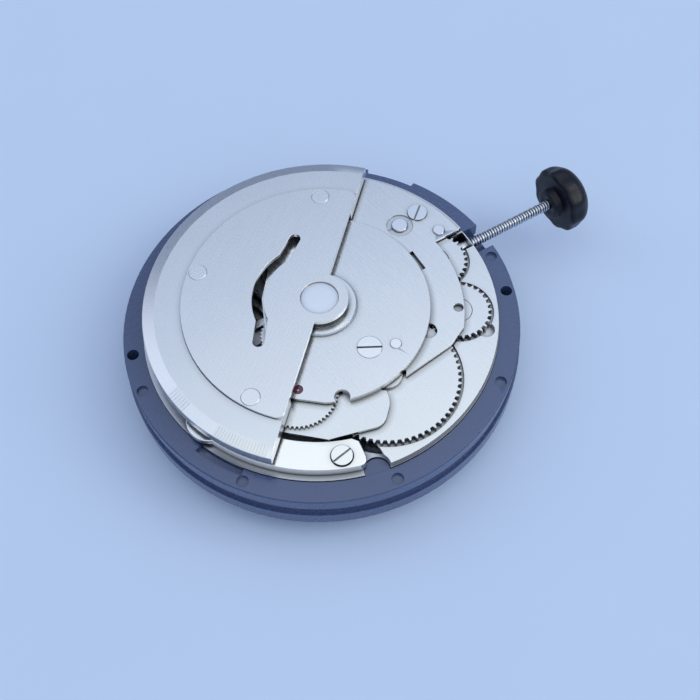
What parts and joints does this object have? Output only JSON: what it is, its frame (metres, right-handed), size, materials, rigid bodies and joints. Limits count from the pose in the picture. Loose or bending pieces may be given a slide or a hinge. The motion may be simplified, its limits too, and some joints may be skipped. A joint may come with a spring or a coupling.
{
  "type": "self-winding watch movement",
  "caption": "Self-winding mechanical watch movement, rotor side up, in its casing ring with winding stem and temporary knob.",
  "frame": {"origin": "on the centre axis (hands and rotor), at the dial seat, the face the dial rests on", "axes": "+Z from the dial to the rotor, +X along the winding stem, out of the case"},
  "size_m": [0.0372, 0.0288, 0.0079],
  "materials": {
    "bridge_metal": "fine brushed, rhodium-coloured plating",
    "plate_metal": "pearled plating",
    "rotor_metal": "brushed",
    "rotor_sheet": "fine brushed",
    "steel": "ground",
    "polished_steel": "polished",
    "gilt": "gilt",
    "spring_steel": "blued grey",
    "ruby": "polished",
    "ring_plastic": "satin, moulded",
    "knob_plastic": "fine textured, moulded",
    "date_white": "white lacquer"
  },
  "bodies": {
    "frame": {"main_plate": "plate_metal", "casing_ring": "ring_plastic", "barrel_bridge": "bridge_metal", "train_bridge": "bridge_metal", "lower_automatic_plate": "bridge_metal", "automatic_bridge": "bridge_metal", "pallet_bridge": "bridge_metal", "balance_cock": "bridge_metal", "hairspring": "spring_steel", "upper_shock_setting": "gilt", "lower_shock_setting": "gilt", "stud_carrier": "polished_steel", "rotor_bearing": "polished_steel", "calendar_plate": "plate_metal", "plate_jewels": "ruby", "train_bridge_jewels": "ruby", "automatic_jewels": "ruby", "pallet_bridge_jewel": "ruby", "train_bridge_screw": "polished_steel", "automatic_bridge_screw": "polished_steel", "balance_cock_screw": "polished_steel", "steady_pins": "polished_steel"},
    "rotor": {"rotor_web": "rotor_sheet", "rotor_weight": "rotor_metal", "rotor_rivets": "polished_steel", "rotor_hub": "polished_steel", "rotor_pinion": "steel"},
    "reverser": {"reverser_wheel": "gilt"},
    "reduction": {"reduction_wheel": "gilt"},
    "winding": {"winding_pinion": "steel"},
    "stem": {"stem": "steel", "winding_knob": "knob_plastic"},
    "sliding": {"sliding_pinion": "steel"},
    "setting_lever": {"setting_lever": "steel"},
    "yoke": {"yoke": "steel"},
    "crown": {"crown_wheel": "steel"},
    "relay": {"relay_crown_wheel": "steel"},
    "ratchet": {"ratchet_wheel": "steel", "ratchet_screw": "polished_steel", "barrel_arbor": "steel"},
    "click": {"click": "steel"},
    "drum": {"barrel_drum": "gilt", "barrel_cover": "gilt", "mainspring": "spring_steel"},
    "second": {"second_wheel": "gilt"},
    "third": {"third_wheel": "gilt"},
    "seconds": {"seconds_wheel": "gilt"},
    "escape": {"escape_wheel": "steel"},
    "lever": {"pallet_lever": "steel", "pallet_stones": "ruby"},
    "balance": {"balance_wheel": "gilt", "balance_staff": "steel"},
    "regulator": {"regulator": "polished_steel"},
    "cannon": {"cannon_pinion": "steel"},
    "minute": {"minute_wheel": "gilt"},
    "hour": {"hour_wheel": "gilt"},
    "intermediate": {"intermediate_setting_wheel": "gilt"},
    "setting": {"setting_wheel": "steel"},
    "date_drive": {"date_driving_wheel": "gilt"},
    "date": {"date_ring": "date_white"}
  },
  "joints": [
    {"name": "rotor_spin", "type": "hinge", "parent": "frame", "child": "rotor", "pos_m": [0, 0, 0], "axis": [0, 0, 1], "continuous": true},
    {"name": "reverser_spin", "type": "hinge", "parent": "frame", "child": "reverser", "pos_m": [-0.0031, -0.00081, 0], "axis": [0, 0, 1], "continuous": true},
    {"name": "reduction_spin", "type": "hinge", "parent": "frame", "child": "reduction", "pos_m": [-0.00464, -0.00514, 0], "axis": [0, 0, 1], "continuous": true},
    {"name": "winding_turn", "type": "hinge", "parent": "frame", "child": "winding", "pos_m": [0.01076, 0, 0.0028], "axis": [1, 0, 0], "continuous": true},
    {"name": "crown_spin", "type": "hinge", "parent": "frame", "child": "crown", "pos_m": [0.00945, -0.00045, 0], "axis": [0, 0, 1], "continuous": true},
    {"name": "relay_spin", "type": "hinge", "parent": "frame", "child": "relay", "pos_m": [0.00847, -0.00498, 0], "axis": [0, 0, 1], "continuous": true},
    {"name": "ratchet_spin", "type": "hinge", "parent": "frame", "child": "ratchet", "pos_m": [0.0013, -0.0069, 0], "axis": [0, 0, 1], "continuous": true},
    {"name": "stem_pull", "type": "slide", "parent": "winding", "child": "stem", "axis": [1, 0, 0], "range_m": [0, 0.0008]},
    {"name": "sliding_pinion_shift", "type": "slide", "parent": "winding", "child": "sliding", "axis": [1, 0, 0], "range_m": [-0.0008, 0]},
    {"name": "setting_lever_turn", "type": "hinge", "parent": "frame", "child": "setting_lever", "pos_m": [0.012, 0.0019, 0], "axis": [0, 0, 1], "range_deg": [0, 30.3]},
    {"name": "yoke_turn", "type": "hinge", "parent": "frame", "child": "yoke", "pos_m": [0.0098, 0.0023, 0], "axis": [0, 0, 1], "range_deg": [-24.78, 0]},
    {"name": "seconds_spin", "type": "hinge", "parent": "frame", "child": "seconds", "pos_m": [0, 0, 0], "axis": [0, 0, 1], "continuous": true},
    {"name": "third_spin", "type": "hinge", "parent": "frame", "child": "third", "pos_m": [0.0028, 0.00226, 0], "axis": [0, 0, 1], "continuous": true},
    {"name": "second_spin", "type": "hinge", "parent": "frame", "child": "second", "pos_m": [0.00433, -0.00165, 0], "axis": [0, 0, 1], "continuous": true},
    {"name": "drum_spin", "type": "hinge", "parent": "frame", "child": "drum", "pos_m": [0.0013, -0.0069, 0], "axis": [0, 0, 1], "continuous": true},
    {"name": "escape_spin", "type": "hinge", "parent": "frame", "child": "escape", "pos_m": [-0.0017, 0.00294, 0], "axis": [0, 0, 1], "continuous": true},
    {"name": "cannon_spin", "type": "hinge", "parent": "frame", "child": "cannon", "pos_m": [0, 0, 0], "axis": [0, 0, 1], "continuous": true},
    {"name": "minute_spin", "type": "hinge", "parent": "frame", "child": "minute", "pos_m": [0.0026, 0, 0], "axis": [0, 0, 1], "continuous": true},
    {"name": "hour_spin", "type": "hinge", "parent": "frame", "child": "hour", "pos_m": [0, 0, 0], "axis": [0, 0, 1], "continuous": true},
    {"name": "date_drive_spin", "type": "hinge", "parent": "frame", "child": "date_drive", "pos_m": [-0.00566, -0.00264, 0], "axis": [0, 0, 1], "continuous": true},
    {"name": "intermediate_spin", "type": "hinge", "parent": "frame", "child": "intermediate", "pos_m": [0.00607, 0.00075, 0], "axis": [0, 0, 1], "continuous": true},
    {"name": "setting_spin", "type": "hinge", "parent": "frame", "child": "setting", "pos_m": [0.0084, 0, 0], "axis": [0, 0, 1], "continuous": true},
    {"name": "date_spin", "type": "hinge", "parent": "frame", "child": "date", "pos_m": [0, 0, 0], "axis": [0, 0, 1], "continuous": true},
    {"name": "balance_swing", "type": "hinge", "parent": "frame", "child": "balance", "pos_m": [-0.0073, 0.0019, 0], "axis": [0, 0, 1], "range_deg": [-270, 270], "stiffness_Nm_per_rad": 0.00000018},
    {"name": "lever_swing", "type": "hinge", "parent": "frame", "child": "lever", "pos_m": [-0.00426, 0.00247, 0], "axis": [0, 0, 1], "range_deg": [-6, 6]},
    {"name": "regulator_turn", "type": "hinge", "parent": "frame", "child": "regulator", "pos_m": [-0.0073, 0.0019, 0], "axis": [0, 0, 1], "range_deg": [-12, 12]},
    {"name": "click_turn", "type": "hinge", "parent": "frame", "child": "click", "pos_m": [-0.00273, -0.00243, 0], "axis": [0, 0, 1], "range_deg": [0, 12], "stiffness_Nm_per_rad": 0.000001}
  ],
  "couplings": [
    {"joint": "reverser_spin", "follows": "rotor_spin", "ratio": -0.68421},
    {"joint": "reduction_spin", "follows": "rotor_spin", "ratio": 0.48148},
    {"joint": "crown_spin", "follows": "winding_turn", "ratio": -0.4},
    {"joint": "relay_spin", "follows": "winding_turn", "ratio": 0.4},
    {"joint": "ratchet_spin", "follows": "winding_turn", "ratio": -0.18182},
    {"joint": "sliding_pinion_shift", "follows": "stem_pull", "ratio": -1},
    {"joint": "setting_lever_turn", "follows": "stem_pull", "rad_per_m": 659.91},
    {"joint": "yoke_turn", "follows": "stem_pull", "rad_per_m": -539.59},
    {"joint": "third_spin", "follows": "seconds_spin", "ratio": -0.13333},
    {"joint": "second_spin", "follows": "seconds_spin", "ratio": 0.017778},
    {"joint": "drum_spin", "follows": "seconds_spin", "ratio": -0.0023704},
    {"joint": "escape_spin", "follows": "seconds_spin", "ratio": -9},
    {"joint": "cannon_spin", "follows": "seconds_spin", "ratio": 0.016667},
    {"joint": "minute_spin", "follows": "seconds_spin", "ratio": -0.0055556},
    {"joint": "hour_spin", "follows": "seconds_spin", "ratio": 0.0013889},
    {"joint": "date_drive_spin", "follows": "seconds_spin", "ratio": -0.00069444},
    {"joint": "intermediate_spin", "follows": "seconds_spin", "ratio": 0.0069444},
    {"joint": "setting_spin", "follows": "seconds_spin", "ratio": -0.011905},
    {"joint": "date_spin", "follows": "seconds_spin", "ratio": -0.000022401}
  ]
}
